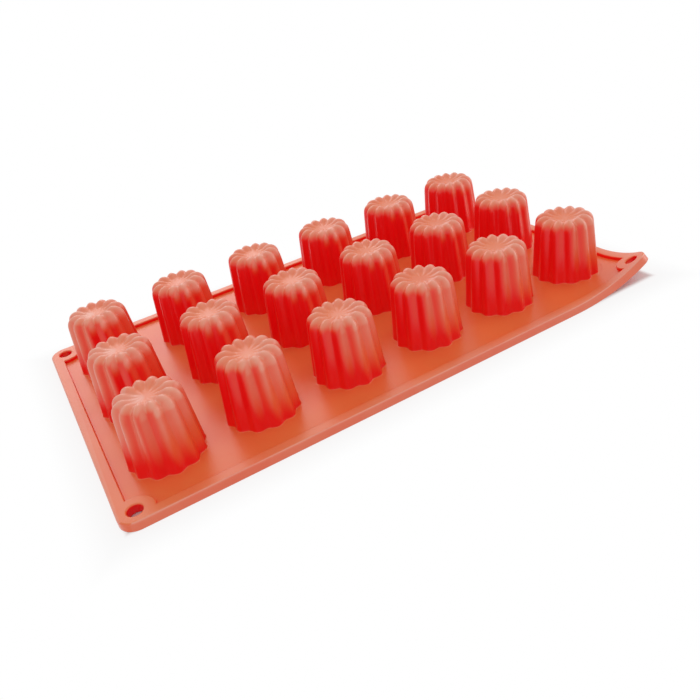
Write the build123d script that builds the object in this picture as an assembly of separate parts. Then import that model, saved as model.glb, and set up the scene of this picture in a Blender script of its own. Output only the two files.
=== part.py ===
from build123d import *
import os
from math import cos, degrees, pi, radians, sin, tan

# Silicone sheet mould for eighteen small canelés, in millimetres, +Z up.
# It lies mouth down on its flat baking face, with the closed cup ends up and
# its front right corner curled off the table, as a limp sheet comes to rest.
# The origin is under the middle of the sheet. X runs along the rows of six
# cups, and Y from the front row to the back row.
#
# The real sheet is one moulding. It is parted here where its own form
# changes: the web, the four rails and four corner pads of its border, and
# the eighteen cups, each flush against what it grows out of.

# Sheet
sheet_length = 300.0
sheet_width = 182.0
corner_radius = 8.0
border_width = 6.0
border_thickness = 4.5
border_chamfer = 0.8
web_thickness = 2.5

# Corner holes, and the round pads that thicken the sheet about them
hole_diameter = 7.0
hole_inset = 8.0
pad_margin = 5.5

# Curl of the front right corner, rolled up about a slanting line. The reach
# runs from where it starts to the corner's hole, and the turn is from +X.
curl_radius = 48.0
curl_reach = 23.0
curl_turn = -55.0
fold_count = 4
folds_to_hole = 3

# Cup grid, and how far in from the web's edge the outer cups stand
column_count = 6
row_names = ("front", "mid", "back")
column_margin_share = 0.085503
row_margin_share = 0.188235

# Cup, measured on the ridges of its cavity
mouth_diameter = 33.7
cavity_depth = 35.0
cup_wall = 1.7
wall_draft = 4.6
shoulder_radius = 5.8
shoulder_steps = 3
flute_count = 12
flute_depth_share = 0.09

# Petal dish in the closed end, its radii measured in the creases
dish_depth = 2.6
dish_radius = 11.0
dish_floor_radius = 6.0
petal_share = 0.73

# Cutters reach this far past the faces they cut
overrun = 1.0

# Sizes that follow
pad_radius = hole_diameter / 2 + pad_margin
pad_reach = hole_inset + pad_radius
hole_x = sheet_length / 2 - hole_inset
hole_y = sheet_width / 2 - hole_inset
web_length = sheet_length - 2 * border_width
web_width = sheet_width - 2 * border_width
column_pitch = web_length * (1 - 2 * column_margin_share) / (column_count - 1)
row_pitch = web_width * (1 - 2 * row_margin_share) / (len(row_names) - 1)
fold_spacing = curl_reach / folds_to_hole
fold_angle = degrees(fold_spacing / curl_radius)
cup_height = cavity_depth + cup_wall
draft_slope = tan(radians(wall_draft))
side_wall = cup_wall / cos(radians(wall_draft))


def ridge_radius(offset, z):
    """Radius of the cavity's ridges at a height, moved out by an offset."""
    return mouth_diameter / 2 + offset - z * draft_slope


def fluted_ring(ridge, groove, z):
    """Corners of a star outline, one ridge and one groove for each flute."""
    step = pi / flute_count
    return [
        Vector(radius * cos(step * (2 * flute + half)), radius * sin(step * (2 * flute + half)), z)
        for flute in range(flute_count)
        for half, radius in enumerate((ridge, groove))
    ]


def flat_face(*corners):
    """Flat face inside a line through its corners."""
    return Face(Wire.make_polygon(corners, close=True))


def faceted_body(rings):
    """Solid with flat sides from ring to ring, closed by its first and last ring."""
    faces = [flat_face(*rings[0]), flat_face(*rings[-1])]
    for lower, upper in zip(rings, rings[1:]):
        for i in range(len(lower)):
            faces.append(flat_face(lower[i - 1], lower[i], upper[i], upper[i - 1]))
    return Solid(Shell(faces))


def fluted_body(offset, shoulder, foot, top):
    """Tapered body with fluted walls and a rounded shoulder of flat steps."""
    eaves = top - shoulder
    stations = [(ridge_radius(offset, foot), foot)]
    for step in range(shoulder_steps + 1):
        turn = pi / 2 * step / shoulder_steps
        inward = shoulder * (1 - cos(turn))
        stations.append((ridge_radius(offset, eaves) - inward, eaves + shoulder * sin(turn)))
    return faceted_body(
        [fluted_ring(radius, radius * (1 - flute_depth_share), z) for radius, z in stations]
    )


def petal_dish(top):
    """Star that narrows down to the dish's floor, and creases the shoulder."""
    flare = (dish_radius - dish_floor_radius) / dish_depth
    stations = [(dish_floor_radius, top - dish_depth), (dish_radius + flare * overrun, top + overrun)]
    return faceted_body([fluted_ring(radius * petal_share, radius, z) for radius, z in stations])


def cavity():
    """Space that the batter fills, from below the mouth to the dimpled end."""
    body = fluted_body(0, shoulder_radius - cup_wall, -overrun, cavity_depth)
    return body - petal_dish(cavity_depth)


def cup_shell(cavity_form):
    """One cup above the web: fluted walls, shoulder and petal dish."""
    outside = fluted_body(side_wall, shoulder_radius, web_thickness, cup_height)
    return outside - petal_dish(cup_height) - cavity_form


def cup_places():
    """Name and place of every cup, row by row from the front, left to right."""
    for row, row_name in enumerate(row_names):
        y = (row - (len(row_names) - 1) / 2) * row_pitch
        for column in range(column_count):
            x = (column - (column_count - 1) / 2) * column_pitch
            yield f"cup_{row_name}_{column + 1}", Pos(x, y, 0)


def corner_places():
    """Name and signs of the four corners."""
    for y_name, y_sign in (("front", -1), ("back", 1)):
        for x_name, x_sign in (("left", -1), ("right", 1)):
            yield f"corner_pad_{y_name}_{x_name}", x_sign, y_sign


def sheet_blank():
    """Whole outline at the border's thickness, its upper edge broken."""
    outline = RectangleRounded(sheet_length, sheet_width, corner_radius)
    blank = extrude(outline, border_thickness)
    return chamfer(blank.faces().sort_by(Axis.Z)[-1].edges(), border_chamfer)


def recess_outline():
    """Outline of the web: the border's inside, less the round corner pads."""
    outline = Rectangle(web_length, web_width)
    for _, x_sign, y_sign in corner_places():
        outline -= Pos(x_sign * hole_x, y_sign * hole_y) * Circle(pad_radius)
    return outline


def corner_zone(x_sign, y_sign):
    """Block that parts one corner pad from the rails beside it."""
    side = pad_reach + overrun
    height = border_thickness + 2 * overrun
    x = x_sign * (sheet_length / 2 - pad_reach + side / 2)
    y = y_sign * (sheet_width / 2 - pad_reach + side / 2)
    return Pos(x, y, border_thickness / 2) * Box(side, side, height)


def border_parts():
    """Rails and drilled corner pads of the border."""
    ring = sheet_blank() - extrude(recess_outline(), border_thickness)
    drill = Cylinder(hole_diameter / 2, border_thickness + 2 * overrun)
    parts = {}
    for name, x_sign, y_sign in corner_places():
        zone = corner_zone(x_sign, y_sign)
        place = Pos(x_sign * hole_x, y_sign * hole_y, border_thickness / 2)
        parts[name] = (ring & zone) - place * drill
        ring -= zone
    parts["rail_left"] = ring.solids().sort_by(Axis.X)[0]
    parts["rail_right"] = ring.solids().sort_by(Axis.X)[-1]
    parts["rail_front"] = ring.solids().sort_by(Axis.Y)[0]
    parts["rail_back"] = ring.solids().sort_by(Axis.Y)[-1]
    return parts


def web_sheet(cavity_form):
    """Thin web inside the border, open at the mouth of every cup."""
    web = extrude(recess_outline(), web_thickness)
    return web - [place * cavity_form for _, place in cup_places()]


def fold_frame(fold):
    """Plane on one fold's line, its X towards the corner and its Z up."""
    towards = Vector(cos(radians(curl_turn)), sin(radians(curl_turn)))
    reach = fold_spacing * (fold + 1 / 2)
    line = Vector(hole_x, -hole_y) + towards * (reach - curl_reach)
    return Plane(origin=line, x_dir=towards, z_dir=(0, 0, 1))


def past_fold(fold, lean):
    """Block of all that lies beyond a fold's line, its near face leaning over."""
    reach = sheet_width
    block = Pos(reach / 2, 0, 0) * Box(reach, reach, reach)
    return fold_frame(fold) * Rot(0, lean, 0) * block


def curled(part):
    """The part with its corner rolled up in mitred folds, the outermost first."""
    for fold in reversed(range(fold_count)):
        corner = part & past_fold(fold, fold_angle / 2)
        if corner:
            frame = fold_frame(fold)
            hinge = Axis(frame.origin, -frame.y_dir)
            part = (part - past_fold(fold, -fold_angle / 2)) + corner.rotate(hinge, fold_angle)
    return part


cavity_form = cavity()
cup = cup_shell(cavity_form)
nodes = {"web_sheet": web_sheet(cavity_form)}
nodes.update(border_parts())
for name in ("web_sheet", "rail_front", "rail_right", "corner_pad_front_right"):
    nodes[name] = curled(nodes[name])
nodes.update({name: place * cup for name, place in cup_places()})

os.makedirs("parts", exist_ok=True)
for name, shape in nodes.items():
    export_step(shape, f"parts/{name}.step")
    print(name, len(shape.solids()), round(shape.volume, 1))
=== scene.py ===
"""Silicone mould for eighteen small caneles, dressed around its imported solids.

The moulding is shown mouth down: a web with eighteen fluted cups, inside a
raised border with a hole at each corner, and one corner that curls up.
"""

import math

import bmesh
import bpy
from mathutils import Matrix, Vector


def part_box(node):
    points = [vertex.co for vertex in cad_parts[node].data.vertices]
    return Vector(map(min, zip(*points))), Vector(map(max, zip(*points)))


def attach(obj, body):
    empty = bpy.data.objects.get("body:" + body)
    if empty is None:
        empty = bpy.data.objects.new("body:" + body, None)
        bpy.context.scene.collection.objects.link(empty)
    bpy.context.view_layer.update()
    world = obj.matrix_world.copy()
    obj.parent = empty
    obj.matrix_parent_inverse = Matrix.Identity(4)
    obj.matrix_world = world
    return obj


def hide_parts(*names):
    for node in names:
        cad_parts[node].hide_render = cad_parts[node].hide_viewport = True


bl_info = {
    "name": "Canele mould",
    "version": (1, 0, 0),
    "blender": (4, 5, 0),
    "location": "View3D > Sidebar > Mould",
    "description": "Builds a silicone canele mould and its photo stage",
    "category": "Add Mesh",
}

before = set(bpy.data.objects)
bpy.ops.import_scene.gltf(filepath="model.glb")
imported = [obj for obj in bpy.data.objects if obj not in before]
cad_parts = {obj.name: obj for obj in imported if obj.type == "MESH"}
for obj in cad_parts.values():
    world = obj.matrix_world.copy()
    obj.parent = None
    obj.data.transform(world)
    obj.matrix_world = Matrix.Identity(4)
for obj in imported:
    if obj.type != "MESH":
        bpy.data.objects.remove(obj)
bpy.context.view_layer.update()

# Names of the solids
ROWS = ("front", "mid", "back")
COLUMNS = 6
CORNERS = {
    "front_left": (-1, -1), "front_right": (1, -1),
    "back_left": (-1, 1), "back_right": (1, 1),
}
WEB_NODE = "web_sheet"
BORDER_NODES = [f"rail_{side}" for side in ("front", "back", "left", "right")]
BORDER_NODES += [f"corner_pad_{corner}" for corner in CORNERS]

# Sizes that the solids give
cup_low, cup_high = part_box("cup_front_1")
rail_low, rail_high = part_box("rail_back")
pad_low, pad_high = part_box("corner_pad_back_left")
side_low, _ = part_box("rail_left")
WEB_TOP = cup_low[2]
CUP_TOP = cup_high[2]
FOOT_RADIUS = (cup_high[0] - cup_low[0]) / 2
BORDER_TOP = rail_high[2]
HALF_LENGTH = -side_low[0]
HALF_WIDTH = rail_high[1]
BORDER_WIDTH = rail_high[1] - rail_low[1]
PAD_REACH = pad_high[0] - pad_low[0]

FLUTES = 12
POINTS_PER_FLUTE = 8
RING_POINTS = FLUTES * POINTS_PER_FLUTE

# Flat rings of the flange just inside its rim, before ridges and before grooves,
# and the smallest ring in the middle of a skin
RIDGE_COLLAR, GROOVE_COLLAR = 0.0004, 0.0006
LEAST_RADIUS = 0.0006

# How crisp a flute is at the foot and below the shoulder
FOOT_CRISPNESS, EAVES_CRISPNESS = 0.3, 0.6

# How many levels the flange and foot have, the last of them on the wall
FOOT_LEVELS = 5

# Levels of a cup's outside. The wall's are shares of its height. Each of the
# shoulder's has its turn in degrees and its crispness. Each of the dish's has
# its share of the radius, of the fall on ridges and of that on grooves, and
# its crispness.
WALL_LEVELS = (0.12, 0.32, 0.52, 0.72, 0.88, 1.0)
SHOULDER_LEVELS = ((22.5, 0.65), (45, 0.72), (67.5, 0.8), (90, 0.9))
DISH_LEVELS = (
    (0.90, 0.08, 0.12, 0.9), (0.80, 0.30, 0.38, 0.8), (0.69, 0.58, 0.65, 0.6),
    (0.57, 0.79, 0.82, 0.4), (0.45, 0.90, 0.91, 0.25), (0.28, 0.975, 0.975, 0.1),
    (0.12, 1.0, 1.0, 0.0),
)

# How much tighter the shoulder bends in its grooves, and how far in they reach
GROOVE_TIGHTER = 0.0016
GROOVE_REACH = 0.9

# Turn from +X of the side of each cup where the painted light falls, palest there
LIT_SIDE = math.radians(-40)

# Limits between which the painted highlight and painted light on a cup grow from none to all: of
# the height as a share, and of the cosine of the turn from the lit side or from the left
HIGHLIGHT_HEIGHT, HIGHLIGHT_TURN = (0.3, 0.77), (-0.2, 0.6)
LIT_HEIGHT, LIT_TURN = (0.1, 0.6), (0.55, 1.0)
SHOULDER_HEIGHT, SHOULDER_TURN = (0.7, 0.88), (0.1, 0.7)
LEFT_HEIGHT, LEFT_TURN = (0.12, 0.6), (0.1, 0.95)

# The same for the distance from a cup's axis in its dish, above this height
DISH_REACH = (0.003, 0.0095)
DISH_HEIGHT = 0.8

# Strength of the painted light on the lit side in the front row and in the others, on
# the open left side, and on the shoulders
FRONT_LIT, OTHER_LIT, LEFT_LIT, SHOULDER_LIT = 0.71, 0.5, 0.8, 0.95

# Border's rounded upper edge, as depths below its top, and how far in from the
# sheet's outline the border carries a painted highlight
EDGE_BOTTOM, EDGE_TOP = 0.0007, 0.00001
HIGHLIGHT_WIDTH = 0.001

# Cutters reach this far past the faces that they cut
OVERRUN = 0.001

# Edges that turn by more than this stay sharp
SHARP_TURN = math.radians(40)

# Sides of the round holes and pads, steps round the sheet's corners and over
# its edges, and lines across the corner that curls
HOLE_SIDES, PAD_SIDES = 48, 96
CORNER_STEPS, EDGE_STEPS = 16, 3
CURL_CUTS = 24

# Width of the floor, and how far below the mould it lies
FLOOR_WIDTH = 6
FLOOR_GAP = 0.0002

# Name, place, width and power of each lamp, and where all of them aim
LAMPS = (
    ("behind", (0.15, 1.30, 0.75), 0.9, 3.6),
    ("front_left", (-0.75, -0.75, 0.28), 0.6, 0.6),
    ("right", (1.05, -0.15, 0.35), 0.6, 1.8),
)
LAMP_TARGET = (0, 0, 0.02)

# Strength of the light from all round, which the camera sees as white
ROOM_LIGHT = 0.66


class CupSizes(bpy.types.PropertyGroup):
    """Sizes of one fluted cup."""

    wall: bpy.props.FloatProperty(
        name="Wall", description="Thickness of the wall", default=0.0017, unit="LENGTH")
    draft: bpy.props.FloatProperty(
        name="Draft", description="Lean of the wall", default=math.radians(4.6), subtype="ANGLE")
    shoulder: bpy.props.FloatProperty(
        name="Shoulder", description="Radius over the shoulder", default=0.0058, unit="LENGTH")
    foot_flute: bpy.props.FloatProperty(
        name="Flute at the foot", description="Depth of a flute at the foot",
        default=0.0018, unit="LENGTH")
    top_flute: bpy.props.FloatProperty(
        name="Flute at the shoulder", description="Depth of a flute below the shoulder",
        default=0.0024, unit="LENGTH")
    dish: bpy.props.FloatProperty(
        name="Dish", description="Depth of the dish in the closed end",
        default=0.0024, unit="LENGTH")
    foot_round: bpy.props.FloatProperty(
        name="Foot rounding", description="Rounding where the wall meets the web",
        default=0.0003, unit="LENGTH")
    flange: bpy.props.FloatProperty(
        name="Flange", description="Reach of the cup's own ring of web past its foot",
        default=0.0018, unit="LENGTH")


class SheetSizes(bpy.types.PropertyGroup):
    """Sizes of the web and its border."""

    corner: bpy.props.FloatProperty(
        name="Corner", description="Radius of the sheet's corners", default=0.008, unit="LENGTH")
    hole: bpy.props.FloatProperty(
        name="Hole", description="Radius of the corner holes", default=0.0035, unit="LENGTH")
    inset: bpy.props.FloatProperty(
        name="Hole inset", description="Distance of a hole from both edges",
        default=0.008, unit="LENGTH")
    edge: bpy.props.FloatProperty(
        name="Edge", description="Rounding of the border's upper edges",
        default=0.0008, unit="LENGTH")
    under_edge: bpy.props.FloatProperty(
        name="Under edge", description="Rounding of the border's lower edges",
        default=0.0003, unit="LENGTH")
    curl_radius: bpy.props.FloatProperty(
        name="Curl radius", description="Radius of the curled corner",
        default=0.048, unit="LENGTH")
    curl_reach: bpy.props.FloatProperty(
        name="Curl reach", description="From the start of the curl to the corner's hole",
        default=0.023, unit="LENGTH")
    curl_turn: bpy.props.FloatProperty(
        name="Curl turn", description="Direction of the curl from +X",
        default=math.radians(-55), subtype="ANGLE")


class SiliconeLook(bpy.types.PropertyGroup):
    """Colours and finish of the silicone, with the colours of its painted light."""

    # Colour where no painted light lies: the deep red of the shaded walls
    body: bpy.props.FloatVectorProperty(
        name="Body", description="Deep colour of the walls", subtype="COLOR",
        size=4, min=0, max=1, default=(0.95, 0.005, 0.007, 1))
    # Painted light over the web and border where they face up
    sheet_painted_light: bpy.props.FloatVectorProperty(
        name="Sheet bloom", description="Paler colour over the web and border",
        subtype="COLOR", size=4, min=0, max=1, default=(0.91, 0.195, 0.055, 1))
    # Painted highlight colour on the closed ends, their lit side and the border's upper edge
    cup_painted_highlight: bpy.props.FloatVectorProperty(
        name="Cup bloom", description="Paler colour over the closed ends", subtype="COLOR",
        size=4, min=0, max=1, default=(0.94, 0.38, 0.26, 1))
    roughness: bpy.props.FloatProperty(
        name="Roughness", description="Roughness of the satin skin", default=0.31)


class StageLook(bpy.types.PropertyGroup):
    """Camera, floor and light."""

    camera_place: bpy.props.FloatVectorProperty(
        name="Camera", description="Place of the camera", subtype="TRANSLATION",
        size=3, default=(-0.1410, -0.3238, 0.1878))
    azimuth: bpy.props.FloatProperty(
        name="Azimuth", description="Turn of the view from +Y",
        default=math.radians(-23.8126), subtype="ANGLE")
    elevation: bpy.props.FloatProperty(
        name="Elevation", description="Downward slope of the view",
        default=math.radians(30.6046), subtype="ANGLE")
    roll: bpy.props.FloatProperty(
        name="Roll", description="Turn about the line of view",
        default=math.radians(-11.5539), subtype="ANGLE")
    lens: bpy.props.FloatProperty(
        name="Lens", description="Focal length in millimetres", default=35.99)
    floor: bpy.props.FloatVectorProperty(
        name="Floor", description="Colour of the floor", subtype="COLOR",
        size=4, min=0, max=1, default=(0.86, 0.86, 0.86, 1))


# Bench work


def clear_selection():
    """Object mode with nothing selected."""
    if bpy.context.mode != "OBJECT":
        bpy.ops.object.mode_set(mode="OBJECT")
    bpy.ops.object.select_all(action="DESELECT")


def take(*objects):
    """Selects these objects and makes the first one active."""
    clear_selection()
    for chosen in objects:
        chosen.select_set(True)
    bpy.context.view_layer.objects.active = objects[0]


def new_piece(name):
    """Names the primitive that was just added and settles it at the origin."""
    piece = bpy.context.object
    piece.name = name
    piece.data.name = name
    bpy.ops.object.transform_apply(location=True, rotation=True, scale=True)
    return piece


def finish_with(piece, kind, **settings):
    """Adds a modifier and applies it."""
    take(piece)
    modifier = piece.modifiers.new(kind.title(), kind)
    for name, value in settings.items():
        setattr(modifier, name, value)
    bpy.ops.object.modifier_apply(modifier=modifier.name)


def cut_away(piece, cutter):
    """Takes the cutter's shape out of a piece and throws the cutter away."""
    finish_with(piece, "BOOLEAN", operation="DIFFERENCE", object=cutter, solver="EXACT")
    bpy.data.objects.remove(cutter)


def joined(name, pieces):
    """Several pieces made one."""
    take(*pieces)
    bpy.ops.object.join()
    pieces[0].name = name
    return pieces[0]


def smooth(piece):
    """Smooth shading, with sharp edges where the surface turns too far."""
    take(piece)
    bpy.ops.object.shade_smooth_by_angle(angle=SHARP_TURN)


def even_shading(piece):
    """Keeps flat faces flat right up to their rounded edges."""
    finish_with(piece, "WEIGHTED_NORMAL", keep_sharp=True, weight=100)


# Cup


def flute_weight(point, crispness):
    """How far a point of the flute lies towards its groove, from 0 to 1.

    A soft wave low on the wall turns into round petals with sharp creases.
    """
    turn = math.pi * point / POINTS_PER_FLUTE
    wave = (1 - math.cos(2 * turn)) / 2
    scallop = 1 - abs(math.cos(turn))
    return wave + (scallop - wave) * crispness


def foot_levels(sizes, rim, ridge, groove, z):
    """Levels over one face of the flange and round the corner into the wall."""
    round_off = sizes.foot_round
    corner = (
        (round_off, 0.0),
        (round_off * 0.3, round_off * 0.3),
        (-round_off * math.tan(sizes.draft), round_off),
    )
    levels = [
        ((rim, z), (rim, z), 0.0),
        ((rim - RIDGE_COLLAR, z), (rim - GROOVE_COLLAR, z), 0.0),
    ]
    for out, up in corner:
        levels.append(((ridge + out, z + up), (groove + out, z + up), FOOT_CRISPNESS))
    return levels


def outer_levels(sizes):
    """Levels of the outside, from the flange to the dish.

    Each has a ridge and a groove, as radius and height, and a crispness.
    """
    lean = math.tan(sizes.draft)
    eaves = CUP_TOP - sizes.shoulder
    rim = FOOT_RADIUS + sizes.flange
    groove = FOOT_RADIUS - sizes.foot_flute
    levels = foot_levels(sizes, rim, FOOT_RADIUS, groove, WEB_TOP)
    for share in WALL_LEVELS:
        z = WEB_TOP + (eaves - WEB_TOP) * share
        radius = FOOT_RADIUS - (z - WEB_TOP) * lean
        depth = sizes.foot_flute + (sizes.top_flute - sizes.foot_flute) * share
        crispness = FOOT_CRISPNESS + (EAVES_CRISPNESS - FOOT_CRISPNESS) * share
        levels.append(((radius, z), (radius - depth, z), crispness))
    radius = FOOT_RADIUS - (eaves - WEB_TOP) * lean
    crest = radius - sizes.shoulder
    crease = radius - sizes.top_flute
    groove_bend = sizes.shoulder - GROOVE_TIGHTER
    for degrees, crispness in SHOULDER_LEVELS:
        turn = math.radians(degrees)
        ridge = (crest + sizes.shoulder * math.cos(turn), eaves + sizes.shoulder * math.sin(turn))
        inward_by = groove_bend * (1 - math.cos(turn)) * GROOVE_REACH
        groove = (crease - inward_by, eaves + groove_bend * math.sin(turn))
        levels.append((ridge, groove, crispness))
    groove_drop = groove[1] - (CUP_TOP - sizes.dish)
    for reach, ridge_fall, groove_fall, crispness in DISH_LEVELS:
        levels.append((
            (crest * reach, CUP_TOP - sizes.dish * ridge_fall),
            (groove[0] * reach, groove[1] - groove_drop * groove_fall), crispness))
    return levels


def inward(line, wall):
    """A line of radius and height points, moved in by the wall's thickness."""
    moved = []
    for i, (radius, height) in enumerate(line):
        before, after = line[max(i - 1, 0)], line[min(i + 1, len(line) - 1)]
        along = Vector((after[0] - before[0], after[1] - before[1])).normalized()
        moved.append((radius - along.y * wall, height + along.x * wall))
    return moved


def inner_levels(sizes, outside):
    """Levels of the cavity, from the underside of the flange to the dish."""
    skin = outside[FOOT_LEVELS - 1:]
    ridges = inward([ridge for ridge, _, _ in skin], sizes.wall)
    grooves = inward([groove for _, groove, _ in skin], sizes.wall)
    flare = WEB_TOP * math.tan(sizes.draft)
    rim = FOOT_RADIUS + sizes.flange
    levels = foot_levels(sizes, rim, ridges[0][0] + flare, grooves[0][0] + flare, 0.0)
    for ridge, groove, (_, _, crispness) in zip(ridges, grooves, skin):
        levels.append((
            (max(ridge[0], LEAST_RADIUS), ridge[1]),
            (max(groove[0], LEAST_RADIUS), groove[1]), crispness))
    return levels


def draw_skin(name, levels):
    """Open shell drawn by extruding a loop from level to level."""
    clear_selection()
    (radius, height), _, _ = levels[0]
    bpy.ops.mesh.primitive_circle_add(
        vertices=RING_POINTS, radius=radius, location=(0, 0, height))
    piece = new_piece(name)
    bpy.ops.object.mode_set(mode="EDIT")
    bpy.ops.mesh.select_mode(type="VERT")
    bpy.ops.mesh.select_all(action="SELECT")
    was = [(radius, height)] * (POINTS_PER_FLUTE // 2 + 1)
    for ridge, groove, crispness in levels[1:]:
        bpy.ops.mesh.extrude_edges_move()
        mesh = bmesh.from_edit_mesh(piece.data)
        ring = [vertex for vertex in mesh.verts if vertex.select]
        places = []
        for point, (old_radius, old_height) in enumerate(was):
            weight = flute_weight(point, crispness)
            radius = ridge[0] + (groove[0] - ridge[0]) * weight
            height = ridge[1] + (groove[1] - ridge[1]) * weight
            places.append((radius, height))
            move_flute_points(piece, ring, point, radius / old_radius, height - old_height)
        was = places
        for vertex in ring:
            vertex.select = True
        mesh.select_flush_mode()
    bpy.ops.mesh.merge(type="CENTER")
    bpy.ops.object.mode_set(mode="OBJECT")
    finish_with(piece, "SUBSURF", levels=1, render_levels=1)
    return piece


def move_flute_points(piece, ring, point, growth, rise):
    """Scales and lifts one point of every flute in a ring."""
    mesh = bmesh.from_edit_mesh(piece.data)
    for vertex in ring:
        angle = math.atan2(vertex.co.y, vertex.co.x)
        place = round(angle / math.tau * RING_POINTS) % POINTS_PER_FLUTE
        vertex.select = min(place, POINTS_PER_FLUTE - place) == point
    mesh.select_flush_mode()
    bpy.ops.transform.resize(value=(growth, growth, 1), center_override=(0, 0, 0))
    bpy.ops.transform.translate(value=(0, 0, rise))


def model_cup(sizes):
    """One cup about the origin: outside, cavity and the flange between them."""
    outside = outer_levels(sizes)
    skins = [
        draw_skin("fluted_cup", outside),
        draw_skin("cavity", inner_levels(sizes, outside)),
    ]
    cup = joined("fluted_cup", skins)
    bpy.ops.object.mode_set(mode="EDIT")
    bpy.ops.mesh.select_all(action="DESELECT")
    bpy.ops.mesh.select_non_manifold()
    bpy.ops.mesh.bridge_edge_loops()
    bpy.ops.mesh.select_all(action="SELECT")
    bpy.ops.mesh.normals_make_consistent(inside=False)
    bpy.ops.object.mode_set(mode="OBJECT")
    smooth(cup)
    return cup


def eased(value, low, high):
    """The value between two limits, as a smooth share from 0 to 1."""
    share = min(max((value - low) / (high - low), 0), 1)
    return share * share * (3 - 2 * share)


def from_least(least, share):
    """A share from 0 to 1, spread over what lies between a least value and 1."""
    return least + (1 - least) * share


def cup_place(vertex, centre):
    """Where a vertex lies on its cup.

    Its height as a share, how near it is to a ridge, and the turn from +X
    halfway between its place about the axis and the way its flank faces.
    """
    out = (vertex.co.xy - Vector(centre)).normalized()
    height = (vertex.co.z - WEB_TOP) / (CUP_TOP - WEB_TOP)
    ridge = (1 + math.cos(FLUTES * math.atan2(out.y, out.x))) / 2
    facing = out + vertex.normal.xy if vertex.normal.xy.dot(out) > 0 else out
    return height, ridge, math.atan2(facing.y, facing.x)


def open_left_light(height, turn, column):
    """Share of painted light on a cup's left side, where no other cup stands before it."""
    if column > 1:
        return 0.0
    return eased(-math.cos(turn), *LEFT_TURN) * eased(height, *LEFT_HEIGHT)


def cup_highlight(vertex, centre, column):
    """Painted highlight towards the closed end, most on its ridges, on its lit side and round its
    dish.
    """
    height, ridge, turn = cup_place(vertex, centre)
    side = from_least(0.6, eased(math.cos(turn - LIT_SIDE), *HIGHLIGHT_TURN))
    painted_highlight = eased(height, *HIGHLIGHT_HEIGHT) * from_least(0.7, ridge) * side
    if height > DISH_HEIGHT:
        reach = (vertex.co.xy - Vector(centre)).length
        painted_highlight *= from_least(0.2, eased(reach, *DISH_REACH))
    return max(painted_highlight, open_left_light(height, turn, column))


def wall_painted_light(vertex, centre, row, column):
    """Painted light where a flank faces the lit side, less and less towards the foot.

    The front row, which no other cup stands before, gets painted light further round it.
    """
    if vertex.normal.xy.dot(vertex.co.xy - Vector(centre)) <= 0:
        return 0.0
    height, ridge, turn = cup_place(vertex, centre)
    toward_light = math.cos(turn - LIT_SIDE)
    if row == "front":
        # The lower on the wall, the closer to the lit side a flank has to face
        low = 3.2 * max(0.6 - height, 0) ** 2 - 0.2
        lit = FRONT_LIT * eased(toward_light, low, low + 1.0)
    else:
        lit = OTHER_LIT * eased(toward_light, *LIT_TURN) * eased(height, *LIT_HEIGHT)
    lit = max(lit, LEFT_LIT * open_left_light(height, turn, column)) * from_least(0.85, ridge)
    shoulder = SHOULDER_LIT * eased(toward_light, *SHOULDER_TURN) * eased(height, *SHOULDER_HEIGHT)
    return max(lit, shoulder * from_least(0.8, ridge))


def rim_highlight(vertex):
    """Painted highlight round the outside, most along its rounded upper edge."""
    away = max(abs(vertex.co.x) - HALF_LENGTH, abs(vertex.co.y) - HALF_WIDTH)
    if away < -HIGHLIGHT_WIDTH:
        return 0.1
    on_edge = BORDER_TOP - EDGE_BOTTOM < vertex.co.z < BORDER_TOP - EDGE_TOP
    return 1.0 if on_edge else 0.5


def cup_places():
    """Row and column of every cup, and the place of its axis."""
    for row in ROWS:
        for column in range(1, COLUMNS + 1):
            low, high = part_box(f"cup_{row}_{column}")
            yield row, column, ((low[0] + high[0]) / 2, (low[1] + high[1]) / 2)


# Sheet


def hole_places(sizes):
    """Place of the hole in each corner."""
    for x_sign, y_sign in CORNERS.values():
        yield x_sign * (HALF_LENGTH - sizes.inset), y_sign * (HALF_WIDTH - sizes.inset)


def block(name, half_x, half_y, low, high):
    """Block about the origin, between two heights."""
    clear_selection()
    bpy.ops.mesh.primitive_cube_add(
        size=1, location=(0, 0, (low + high) / 2), scale=(2 * half_x, 2 * half_y, high - low))
    return new_piece(name)


def rods(name, places, radius, sides, low, high):
    """Round rods through the sheet at these places, as one piece."""
    made = []
    for x, y in places:
        clear_selection()
        bpy.ops.mesh.primitive_cylinder_add(
            vertices=sides, radius=radius, depth=high - low, location=(x, y, (low + high) / 2))
        made.append(new_piece(name))
    return joined(name, made)


def recess_block(name, sizes, low, high):
    """Inside of the border, less the round corner pads."""
    inside = block(name, HALF_LENGTH - BORDER_WIDTH, HALF_WIDTH - BORDER_WIDTH, low, high)
    pad_radius = PAD_REACH - sizes.inset
    cut_away(inside, rods(
        "pads", hole_places(sizes), pad_radius, PAD_SIDES, low - OVERRUN, high + OVERRUN))
    return inside


def round_upright_edges(piece, radius):
    """Rounds the corners of a block, seen from above."""
    take(piece)
    bpy.ops.object.mode_set(mode="EDIT")
    bpy.ops.mesh.select_mode(type="EDGE")
    mesh = bmesh.from_edit_mesh(piece.data)
    for edge in mesh.edges:
        first, second = edge.verts
        edge.select = abs(first.co.z - second.co.z) > BORDER_TOP / 2
    bmesh.update_edit_mesh(piece.data)
    bpy.ops.mesh.bevel(offset=radius, segments=CORNER_STEPS, affect="EDGES")
    bpy.ops.object.mode_set(mode="OBJECT")


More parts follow.
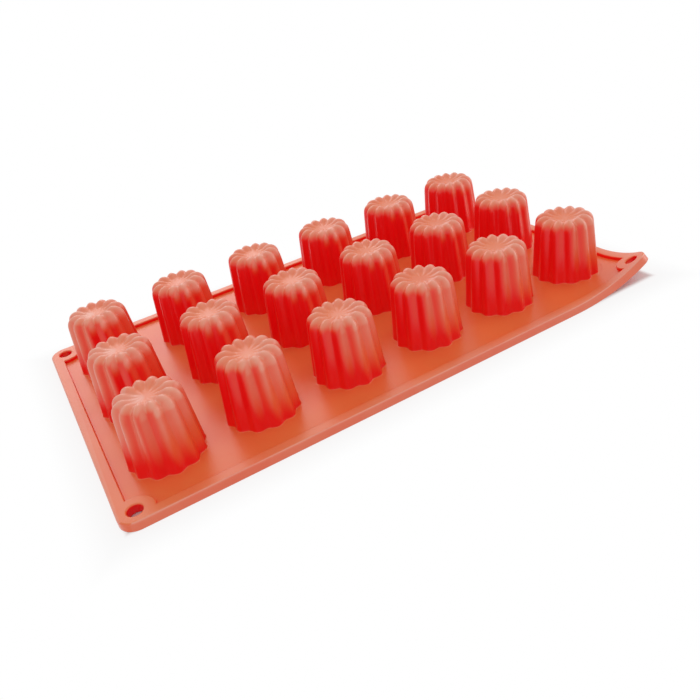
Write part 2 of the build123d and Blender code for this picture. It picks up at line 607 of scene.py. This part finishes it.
def round_level_edges(piece, height, width):
    """Rounds the sharp edges that lie at one height."""
    take(piece)
    bpy.ops.object.mode_set(mode="EDIT")
    bpy.ops.mesh.select_mode(type="EDGE")
    bpy.ops.mesh.select_all(action="DESELECT")
    bpy.ops.mesh.edges_select_sharp(sharpness=SHARP_TURN)
    mesh = bmesh.from_edit_mesh(piece.data)
    for edge in mesh.edges:
        level = all(abs(vertex.co.z - height) < 1e-6 for vertex in edge.verts)
        edge.select = edge.select and level
    mesh.select_flush_mode()
    bmesh.update_edit_mesh(piece.data)
    bpy.ops.mesh.bevel(offset=width, segments=EDGE_STEPS, affect="EDGES", loop_slide=False)
    bpy.ops.object.mode_set(mode="OBJECT")


def curl_distance(sizes, place):
    """How far a place lies past the start of the curl, and the way to the corner."""
    towards = Vector((math.cos(sizes.curl_turn), math.sin(sizes.curl_turn)))
    hole = Vector((HALF_LENGTH - sizes.inset, sizes.inset - HALF_WIDTH))
    return (Vector(place[:2]) - hole).dot(towards) + sizes.curl_reach, towards


def score_corner(piece, sizes):
    """Cuts lines across the corner, along which it can curl."""
    take(piece)
    bpy.ops.object.mode_set(mode="EDIT")
    bpy.ops.mesh.select_mode(type="FACE")
    corner = Vector((HALF_LENGTH, -HALF_WIDTH))
    reach, towards = curl_distance(sizes, corner)
    for cut in range(CURL_CUTS):
        line = corner - towards * (reach * (1 - cut / CURL_CUTS))
        bpy.ops.mesh.select_all(action="SELECT")
        bpy.ops.mesh.bisect(plane_co=(*line, 0), plane_no=(*towards, 0))
    bpy.ops.object.mode_set(mode="OBJECT")


def curl_corner(piece, sizes):
    """Rolls the front right corner up about its slanting line."""
    radius = sizes.curl_radius
    for vertex in piece.data.vertices:
        along, towards = curl_distance(sizes, vertex.co)
        if along > 0:
            turn = along / radius
            height = vertex.co.z
            shift = (radius - height) * math.sin(turn) - along
            vertex.co.xy = vertex.co.xy + towards * shift
            vertex.co.z = radius - (radius - height) * math.cos(turn)
    piece.data.update()


# Silicone


class Shade:
    """One socket of a material, with operators that add its Math nodes."""

    def __init__(self, tree, socket=None):
        self.tree = tree
        self.socket = socket

    def node(self, kind, settings, inputs, output=0):
        """Adds a node: its settings first, then the values or links of its sockets."""
        made = self.tree.nodes.new(kind)
        for name, value in settings.items():
            setattr(made, name, value)
        for key, value in inputs.items():
            if isinstance(value, Shade):
                self.tree.links.new(value.socket, made.inputs[key])
            else:
                made.inputs[key].default_value = value
        return Shade(self.tree, made.outputs[output])

    def maths(self, operation, *values):
        """One Math node."""
        return self.node("ShaderNodeMath", {"operation": operation}, dict(enumerate(values)))

    def __add__(self, other):
        return self.maths("ADD", self, other)

    def __sub__(self, other):
        return self.maths("SUBTRACT", self, other)

    def __rsub__(self, other):
        return self.maths("SUBTRACT", other, self)

    def __mul__(self, other):
        return self.maths("MULTIPLY", self, other)

    __radd__ = __add__
    __rmul__ = __mul__

    def part(self, vector, axis):
        """One axis of a vector."""
        return self.node("ShaderNodeSeparateXYZ", {}, {0: vector}, axis)

    def limited(self, low, high):
        """The value between two limits, as a smooth share from 0 to 1."""
        return self.node(
            "ShaderNodeMapRange", {"interpolation_type": "SMOOTHSTEP"},
            {"Value": self, "From Min": low, "From Max": high})

    def blend(self, first, second):
        """A colour between two, by this share."""
        return self.node("ShaderNodeMix", {"data_type": "RGBA"}, {0: self, 6: first, 7: second}, 2)


def new_material(name):
    """Empty material, and a start for its nodes."""
    material = bpy.data.materials.new(name)
    material.use_nodes = True
    material.node_tree.nodes.clear()
    return material, Shade(material.node_tree)


def silicone_material(look):
    """Satin moulded silicone: deep walls, a clouded painted light on what faces up and on lit
    flanks, painted highlights, fine grain.
    """
    material, start = new_material("satin_silicone")
    place = start.node("ShaderNodeTexCoord", {}, {}, "Object")
    cloud, smear, grain = (
        start.node(
            "ShaderNodeTexNoise", {}, {"Vector": place, "Scale": scale, "Detail": detail}, "Fac")
        for scale, detail in ((38.0, 3.0), (160.0, 4.0), (2600.0, 2.0)))
    facing = start.part(start.node("ShaderNodeNewGeometry", {}, {}, "Normal"), "Z")
    painted_highlight, painted_lit_side = (
        start.node("ShaderNodeAttribute", {"attribute_name": name}, {}, "Fac")
        for name in ("painted_highlight", "painted_lit_side"))
    # Painted light on a band at the sheet's outline, over the border's outer side
    border = past_outline(start, place).limited(-0.005, -0.004)
    # Painted light: paler the more a face turns up, on the outer band and on the lit flanks
    painted_light = start.maths("MAXIMUM", facing.limited(0.05, 0.92), 0.75 * border)
    painted_light = start.maths("MAXIMUM", painted_light, painted_lit_side)
    painted_light = painted_light * (0.96 + 0.30 * (cloud - 0.5) + 0.20 * (smear - 0.5))
    # Painted highlights turn the painted light to the paler highlight colour
    lit_colour = (painted_highlight * painted_light.limited(0.1, 1.0)).blend(
        tuple(look.sheet_painted_light), tuple(look.cup_painted_highlight))
    colour = painted_light.blend(tuple(look.body), lit_colour)
    roughness = look.roughness + 0.10 * (cloud - 0.5) + 0.08 * (grain - 0.5)
    relief = start.node(
        "ShaderNodeBump", {}, {"Strength": 0.35, "Distance": 0.00006, "Height": grain})
    skin = start.node("ShaderNodeBsdfPrincipled", {}, {
        "Base Color": colour, "Roughness": roughness, "Normal": relief,
        "Specular IOR Level": 0.5,
    })
    link_surface(start, skin)
    return material


def past_outline(start, place):
    """How far a place lies outside the sheet's outline, less than zero inside it."""
    across, along = (
        start.maths("ABSOLUTE", start.part(place, axis)) - half
        for axis, half in (("X", HALF_LENGTH), ("Y", HALF_WIDTH))
    )
    return start.maths("MAXIMUM", across, along)


def link_surface(start, shader):
    """Feeds a shader to the material's output."""
    output = start.tree.nodes.new("ShaderNodeOutputMaterial")
    start.tree.links.new(shader.socket, output.inputs["Surface"])


def write_share(piece, name, share):
    """Writes a share from 0 to 1 on each vertex, for the silicone to read."""
    written = piece.data.attributes.new(name, "FLOAT", "POINT")
    for vertex in piece.data.vertices:
        written.data[vertex.index].value = share(vertex)


def dress(piece, *nodes):
    """Gives a finished piece its silicone and its place in the frame."""
    look = bpy.context.scene.silicone_look
    material = bpy.data.materials.get("satin_silicone") or silicone_material(look)
    piece.data.materials.clear()
    piece.data.materials.append(material)
    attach(piece, "root")
    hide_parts(*nodes)


# Operators


class MOULD_OT_cups(bpy.types.Operator):
    """Model one fluted cup and copy it to all eighteen places"""

    bl_idname = "mould.cups"
    bl_label = "Fluted cups"

    def execute(self, context):
        pattern = model_cup(context.scene.cup_sizes)
        for row, column, centre in cup_places():
            take(pattern)
            bpy.ops.object.duplicate()
            bpy.ops.transform.translate(value=(*centre, 0))
            cup = new_piece(f"fluted_cup_{row}_{column}")
            # Painted highlights and painted light, written on each vertex
            write_share(cup, "painted_highlight", lambda vertex: cup_highlight(vertex, centre, column))
            write_share(cup, "painted_lit_side", lambda vertex: wall_painted_light(vertex, centre, row, column))
            dress(cup, f"cup_{row}_{column}")
        bpy.data.objects.remove(pattern)
        return {"FINISHED"}


class MOULD_OT_web(bpy.types.Operator):
    """Model the thin web, open for the eighteen cups"""

    bl_idname = "mould.web"
    bl_label = "Web"

    def execute(self, context):
        sizes, cup = context.scene.sheet_sizes, context.scene.cup_sizes
        web = recess_block("thin_web", sizes, 0, WEB_TOP)
        # Subdivision draws the corners of a cup's many-sided rim in to this radius
        step = math.tau / RING_POINTS
        rim = (FOOT_RADIUS + cup.flange) * (3 + math.cos(step)) / 4
        places = [centre for _, _, centre in cup_places()]
        cut_away(web, rods(
            "mouths", places, rim, 2 * RING_POINTS, -OVERRUN, WEB_TOP + OVERRUN))
        score_corner(web, sizes)
        curl_corner(web, sizes)
        smooth(web)
        even_shading(web)
        dress(web, WEB_NODE)
        return {"FINISHED"}


class MOULD_OT_border(bpy.types.Operator):
    """Model the raised border with its corner pads and holes"""

    bl_idname = "mould.border"
    bl_label = "Border"

    def execute(self, context):
        sizes = context.scene.sheet_sizes
        low, high = -OVERRUN, BORDER_TOP + OVERRUN
        border = block("raised_border", HALF_LENGTH, HALF_WIDTH, 0, BORDER_TOP)
        round_upright_edges(border, sizes.corner)
        cut_away(border, recess_block("recess", sizes, low, high))
        cut_away(border, rods("holes", hole_places(sizes), sizes.hole, HOLE_SIDES, low, high))
        round_level_edges(border, BORDER_TOP, sizes.edge)
        round_level_edges(border, 0.0, sizes.under_edge)
        score_corner(border, sizes)
        # Painted highlight along the border's outline and its rounded upper edge
        write_share(border, "painted_highlight", rim_highlight)
        curl_corner(border, sizes)
        smooth(border)
        even_shading(border)
        dress(border, *BORDER_NODES)
        return {"FINISHED"}


class MOULD_OT_stage(bpy.types.Operator):
    """Set up the pale floor, the soft light and the camera"""

    bl_idname = "mould.stage"
    bl_label = "Stage"

    def execute(self, context):
        look = context.scene.stage_look
        lay_floor(look)
        hang_lamps()
        fill_world(context.scene)
        place_camera(context.scene, look)
        return {"FINISHED"}


def lay_floor(look):
    """Wide pale floor that keeps a shadow under the mould and turns white round it."""
    clear_selection()
    bpy.ops.mesh.primitive_plane_add(size=FLOOR_WIDTH, location=(0, 0, -FLOOR_GAP))
    floor = new_piece("floor")
    material, start = new_material("pale_floor")
    away = past_outline(start, start.node("ShaderNodeTexCoord", {}, {}, "Object"))
    matt = start.node("ShaderNodeBsdfDiffuse", {}, {"Color": tuple(look.floor)})
    white = start.node("ShaderNodeEmission", {}, {"Color": (1, 1, 1, 1), "Strength": 1.0})
    turned = 0.85 * away.limited(-0.004, 0) + 0.15 * away.limited(0, 0.02)
    share = turned * seen_directly(start)
    link_surface(start, start.node("ShaderNodeMixShader", {}, {0: share, 1: matt, 2: white}))
    floor.data.materials.append(material)


def seen_directly(start):
    """1 for what the camera sees, itself or in a gloss, and 0 for plain light."""
    rays = [
        start.node("ShaderNodeLightPath", {}, {}, f"Is {kind} Ray")
        for kind in ("Camera", "Glossy", "Transmission")
    ]
    return start.maths("MINIMUM", rays[0] + rays[1] + rays[2], 1.0)


def hang_lamps():
    """Soft square lamps, all aimed at the mould."""
    for name, place, width, power in LAMPS:
        light = bpy.data.lights.new(name, "AREA")
        light.size = width
        light.energy = power
        lamp = bpy.data.objects.new(name, light)
        lamp.location = place
        aim = Vector(LAMP_TARGET) - Vector(place)
        lamp.rotation_euler = aim.to_track_quat("-Z", "Y").to_euler()
        bpy.context.collection.objects.link(lamp)


def fill_world(scene):
    """Even pale light from all round, white where the camera sees it."""
    world = bpy.data.worlds.new("pale_room")
    world.use_nodes = True
    world.node_tree.nodes.clear()
    start = Shade(world.node_tree)
    air = start.node("ShaderNodeBackground", {}, {
        "Color": (1, 1, 1, 1),
        "Strength": ROOM_LIGHT + (1 - ROOM_LIGHT) * seen_directly(start),
    })
    output = start.tree.nodes.new("ShaderNodeOutputWorld")
    start.tree.links.new(air.socket, output.inputs["Surface"])
    scene.world = world
    scene.view_settings.view_transform = "Standard"


def place_camera(scene, look):
    """Camera at the photograph's place, turn, slope and roll."""
    forward = Vector((
        -math.sin(look.azimuth) * math.cos(look.elevation),
        math.cos(look.azimuth) * math.cos(look.elevation),
        -math.sin(look.elevation)))
    level = Vector((math.cos(look.azimuth), math.sin(look.azimuth), 0))
    down = forward.cross(level)
    right = math.cos(look.roll) * level - math.sin(look.roll) * down
    below = math.sin(look.roll) * level + math.cos(look.roll) * down
    turn = Matrix((right, -below, -forward)).transposed()
    camera = bpy.data.objects.new("camera", bpy.data.cameras.new("camera"))
    camera.data.lens = look.lens
    camera.data.sensor_width = 36.0
    camera.data.clip_start = 0.01
    camera.matrix_world = Matrix.Translation(Vector(look.camera_place)) @ turn.to_4x4()
    scene.collection.objects.link(camera)
    scene.camera = camera


class MOULD_PT_panel(bpy.types.Panel):
    """Lists the mould's pieces and their sizes"""

    bl_idname = "MOULD_PT_panel"
    bl_label = "Canele mould"
    bl_space_type = "VIEW_3D"
    bl_region_type = "UI"
    bl_category = "Mould"

    def draw(self, context):
        layout = self.layout
        for operator in OPERATORS:
            layout.operator(operator.bl_idname)
        for group in SETTINGS:
            settings = getattr(context.scene, group)
            box = layout.box()
            for name in settings.bl_rna.properties.keys():
                if name not in ("rna_type", "name"):
                    box.prop(settings, name)


OPERATORS = (MOULD_OT_cups, MOULD_OT_web, MOULD_OT_border, MOULD_OT_stage)
SETTINGS = {
    "cup_sizes": CupSizes,
    "sheet_sizes": SheetSizes,
    "silicone_look": SiliconeLook,
    "stage_look": StageLook,
}
CLASSES = (*SETTINGS.values(), *OPERATORS, MOULD_PT_panel)


def register():
    """Registers the classes and hangs the sizes and looks on the scene."""
    for cls in CLASSES:
        bpy.utils.register_class(cls)
    for name, cls in SETTINGS.items():
        setattr(bpy.types.Scene, name, bpy.props.PointerProperty(type=cls))


def unregister():
    """Takes them off again."""
    for name in SETTINGS:
        delattr(bpy.types.Scene, name)
    for cls in reversed(CLASSES):
        bpy.utils.unregister_class(cls)


def main():
    """Builds the mould piece by piece."""
    register()
    bpy.ops.mould.cups()
    bpy.ops.mould.web()
    bpy.ops.mould.border()
    bpy.ops.mould.stage()


if __name__ == "__main__":
    main()
